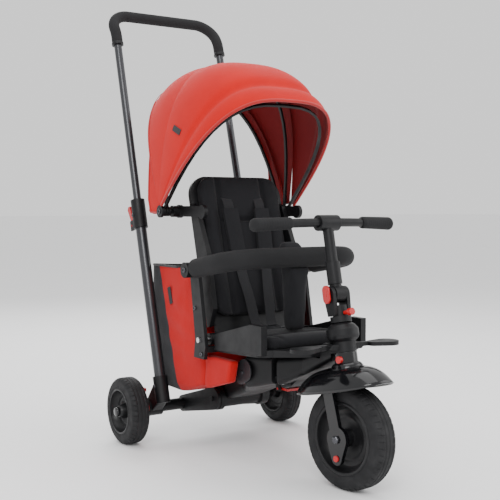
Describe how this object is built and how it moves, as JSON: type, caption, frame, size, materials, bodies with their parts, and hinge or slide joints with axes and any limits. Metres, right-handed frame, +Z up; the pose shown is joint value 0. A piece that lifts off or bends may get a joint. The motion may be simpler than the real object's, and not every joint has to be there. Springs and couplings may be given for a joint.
{
  "type": "childrens tricycle",
  "caption": "Child's folding tricycle with a push handle, sun canopy, swinging safety bar, reclining seat, footrests, storage bag and a front fork that can be steered on its own.",
  "frame": {"origin": "on the floor, at the middle of the whole tricycle's bounding box", "axes": "+Z up, -Y towards the front, -X towards the child's right hand"},
  "size_m": [0.494, 0.9001, 1.0503],
  "materials": {
    "tyre": "matte, lightly scuffed",
    "rim": "moulded",
    "steel": "satin",
    "tube": "metallic dark grey",
    "black_plastic": "moulded, fine texture",
    "gloss_black": "gloss",
    "red_plastic": "semi-gloss",
    "foam": "closed-cell foam",
    "pad_fabric": "woven",
    "webbing": "webbing",
    "red_fabric": "woven polyester",
    "dark_red_fabric": "woven polyester",
    "grey_plastic": "moulded"
  },
  "bodies": {
    "chassis": {"rear_axle": "steel", "axle_caps": "black_plastic", "axle_beam": "black_plastic", "tube_foot_right": "black_plastic", "tube_foot_left": "black_plastic", "lower_tubes": "tube", "clamp_sleeves": "black_plastic", "rear_links": "black_plastic", "drum": "black_plastic", "body_shell": "black_plastic", "body_side_panels": "grey_plastic", "seat_pan": "black_plastic", "seat_pad": "pad_fabric", "seat_arms": "black_plastic", "recline_pin": "steel", "lap_belt": "webbing", "buckle": "grey_plastic", "storage_bag": "dark_red_fabric", "neck_pin": "steel"},
    "rear_wheel_right": {"rear_tyre_right": "tyre", "rear_rim_right": "rim"},
    "rear_wheel_left": {"rear_tyre_left": "tyre", "rear_rim_left": "rim"},
    "release_lever_right": {"release_lever_right": "red_plastic"},
    "release_lever_left": {"release_lever_left": "red_plastic"},
    "handle": {"handle_tube": "tube", "handle_foam": "foam"},
    "backrest": {"backrest_shell": "black_plastic", "back_pad": "pad_fabric", "shoulder_straps": "webbing", "canopy_arms": "black_plastic", "canopy_pivots": "black_plastic", "canopy_rear_bow": "black_plastic", "canopy_rear_panel": "red_fabric"},
    "canopy_mid": {"canopy_mid_bow": "black_plastic", "canopy_mid_panel": "red_fabric"},
    "canopy_front": {"canopy_front_bow": "black_plastic", "canopy_front_panel": "red_fabric"},
    "safety_bar": {"bar_tube": "tube", "bar_foam": "foam", "bar_pivots": "black_plastic", "crotch_post": "pad_fabric"},
    "front_unit": {"neck_shell": "black_plastic"},
    "fold_lever": {"fold_lever": "red_plastic"},
    "footrest_right": {"footrest_right": "black_plastic"},
    "footrest_left": {"footrest_left": "black_plastic"},
    "fork": {"fork": "gloss_black", "fender": "gloss_black"},
    "steer_lock": {"steer_lock": "red_plastic"},
    "front_wheel": {"front_tyre": "tyre", "front_rim": "rim"},
    "clutch_button": {"clutch_button": "red_plastic"},
    "yoke": {"steering_yoke": "black_plastic", "yoke_pin": "black_plastic"},
    "stem": {"stem": "black_plastic", "handlebar": "black_plastic", "handlebar_grips": "foam"},
    "stem_button": {"stem_button": "red_plastic"},
    "pull_knob": {"pull_knob": "red_plastic"},
    "brake_pedal": {"brake_pedal": "red_plastic"}
  },
  "joints": [
    {"name": "rear_wheel_right_spin", "type": "hinge", "parent": "chassis", "child": "rear_wheel_right", "pos_m": [-0.214, 0.20462, 0.077], "axis": [1, 0, 0], "continuous": true},
    {"name": "rear_wheel_left_spin", "type": "hinge", "parent": "chassis", "child": "rear_wheel_left", "pos_m": [0.214, 0.20462, 0.077], "axis": [1, 0, 0], "continuous": true},
    {"name": "front_fold", "type": "hinge", "parent": "chassis", "child": "front_unit", "pos_m": [0, -0.17938, 0.186], "axis": [1, 0, 0], "range_deg": [0, 75]},
    {"name": "fork_steer", "type": "hinge", "parent": "front_unit", "child": "fork", "pos_m": [0, -0.32533, 0.283], "axis": [0, 0.2164, 0.9763], "range_deg": [-48, 32]},
    {"name": "front_wheel_spin", "type": "hinge", "parent": "fork", "child": "front_wheel", "pos_m": [-0.00237, -0.34838, 0.10129], "axis": [0.9903, 0.1359, -0.0301], "continuous": true},
    {"name": "handlebar_turn", "type": "hinge", "parent": "front_unit", "child": "yoke", "pos_m": [0, -0.32533, 0.283], "axis": [0, 0.2164, 0.9763], "range_deg": [-40, 40]},
    {"name": "stem_fold", "type": "hinge", "parent": "yoke", "child": "stem", "pos_m": [0, -0.30141, 0.37705], "axis": [1, 0, 0], "range_deg": [0, 95]},
    {"name": "stem_button_press", "type": "slide", "parent": "yoke", "child": "stem_button", "axis": [1, 0, 0], "range_m": [0, 0.0014], "stiffness_N_per_m": 800},
    {"name": "pull_knob_pull", "type": "slide", "parent": "yoke", "child": "pull_knob", "axis": [0, -0.9763, 0.2164], "range_m": [0, 0.004], "stiffness_N_per_m": 400},
    {"name": "steer_lock_press", "type": "slide", "parent": "fork", "child": "steer_lock", "axis": [0.9903, 0.1359, -0.0301], "range_m": [0, 0.003], "stiffness_N_per_m": 500},
    {"name": "clutch_press", "type": "slide", "parent": "fork", "child": "clutch_button", "axis": [0.9903, 0.1359, -0.0301], "range_m": [0, 0.003], "stiffness_N_per_m": 500},
    {"name": "footrest_right_fold", "type": "hinge", "parent": "front_unit", "child": "footrest_right", "pos_m": [-0.034, -0.32133, 0.277], "axis": [0, -1, 0], "range_deg": [-80, 0]},
    {"name": "footrest_left_fold", "type": "hinge", "parent": "front_unit", "child": "footrest_left", "pos_m": [0.034, -0.32133, 0.277], "axis": [0, 1, 0], "range_deg": [-80, 0]},
    {"name": "backrest_recline", "type": "hinge", "parent": "chassis", "child": "backrest", "pos_m": [0, -0.01038, 0.262], "axis": [-1, 0, 0], "range_deg": [-12, 0]},
    {"name": "canopy_mid_fold", "type": "hinge", "parent": "backrest", "child": "canopy_mid", "pos_m": [0, 0.10962, 0.54], "axis": [-1, 0, 0], "range_deg": [0, 20]},
    {"name": "canopy_front_fold", "type": "hinge", "parent": "canopy_mid", "child": "canopy_front", "pos_m": [0, 0.10962, 0.54], "axis": [-1, 0, 0], "range_deg": [0, 30]},
    {"name": "bar_swing", "type": "hinge", "parent": "chassis", "child": "safety_bar", "pos_m": [0, 0.01462, 0.413], "axis": [-1, 0, 0], "range_deg": [0, 65]},
    {"name": "handle_slide", "type": "slide", "parent": "chassis", "child": "handle", "axis": [0, 0.2639, 0.9646], "range_m": [-0.19, 0]},
    {"name": "release_lever_right_squeeze", "type": "hinge", "parent": "chassis", "child": "release_lever_right", "pos_m": [-0.148, 0.28962, 0.5047], "axis": [1, 0, 0], "range_deg": [0, 10], "stiffness_Nm_per_rad": 0.6},
    {"name": "release_lever_left_squeeze", "type": "hinge", "parent": "chassis", "child": "release_lever_left", "pos_m": [0.148, 0.28962, 0.5047], "axis": [1, 0, 0], "range_deg": [0, 10], "stiffness_Nm_per_rad": 0.6},
    {"name": "fold_lever_pull", "type": "hinge", "parent": "chassis", "child": "fold_lever", "pos_m": [0, -0.13538, 0.164], "axis": [1, 0, 0], "range_deg": [0, 35], "stiffness_Nm_per_rad": 0.5},
    {"name": "brake_press", "type": "hinge", "parent": "chassis", "child": "brake_pedal", "pos_m": [-0.174, 0.20462, 0.077], "axis": [-1, 0, 0], "range_deg": [0, 20], "stiffness_Nm_per_rad": 2}
  ],
  "couplings": [
    {"joint": "canopy_front_fold", "follows": "canopy_mid_fold", "ratio": 1.5}
  ]
}
